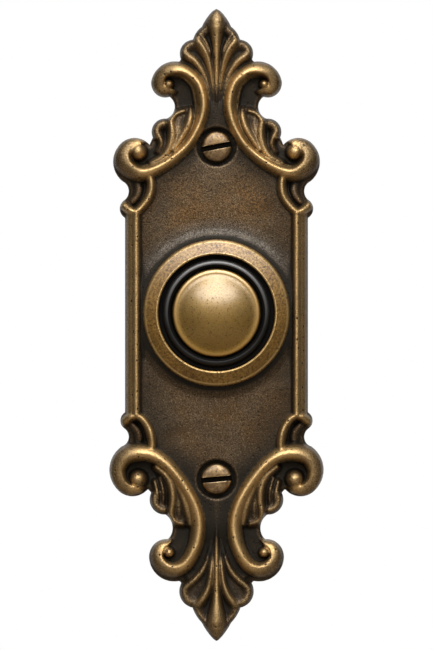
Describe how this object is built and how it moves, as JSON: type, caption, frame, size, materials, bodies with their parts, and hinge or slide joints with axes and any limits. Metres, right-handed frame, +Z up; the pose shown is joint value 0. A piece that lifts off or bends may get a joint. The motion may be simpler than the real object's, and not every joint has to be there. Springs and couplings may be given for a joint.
{
  "type": "doorbell push button",
  "caption": "Wall push button for a doorbell: domed button in a round bezel on a tall cast plate with scrolled ends, with a sprung switch behind.",
  "frame": {"origin": "on the wall plane at the plate's back, where the button's axis meets it", "axes": "+Z up along the plate, +Y into the wall along the button's axis, +X to the viewer's right"},
  "size_m": [0.041, 0.0322, 0.121],
  "materials": {
    "antique_brass": "aged cast, dark in the recesses",
    "satin_brass": "satin",
    "dark_brass": "aged",
    "black_rubber": "matte",
    "black_plastic": "moulded",
    "white_plastic": "moulded",
    "spring_steel": "bright",
    "bare_brass": "bright",
    "contact_silver": "bright"
  },
  "bodies": {
    "plate": {"escutcheon_plate": "antique_brass", "bezel_ring": "satin_brass", "mounting_screw_upper": "dark_brass", "mounting_screw_lower": "dark_brass", "seal_ring": "black_rubber", "housing_gasket": "black_rubber", "switch_housing": "black_plastic", "terminal_base": "black_plastic", "return_spring": "spring_steel", "housing_screw_upper": "spring_steel", "housing_screw_lower": "spring_steel", "contact_blade_left": "bare_brass", "contact_blade_right": "bare_brass", "terminal_screw_left": "bare_brass", "terminal_screw_right": "bare_brass", "terminal_washer_left": "bare_brass", "terminal_washer_right": "bare_brass"},
    "button": {"button_cap": "satin_brass", "plunger": "white_plastic", "retaining_clip": "spring_steel", "contact_bridge": "bare_brass", "contact_rivet_left": "contact_silver", "contact_rivet_right": "contact_silver"}
  },
  "joints": [
    {"name": "button_press", "type": "slide", "parent": "plate", "child": "button", "axis": [0, 1, 0], "range_m": [0, 0.0016], "stiffness_N_per_m": 400, "springref_m": -0.003, "deforming": ["return_spring"]}
  ]
}
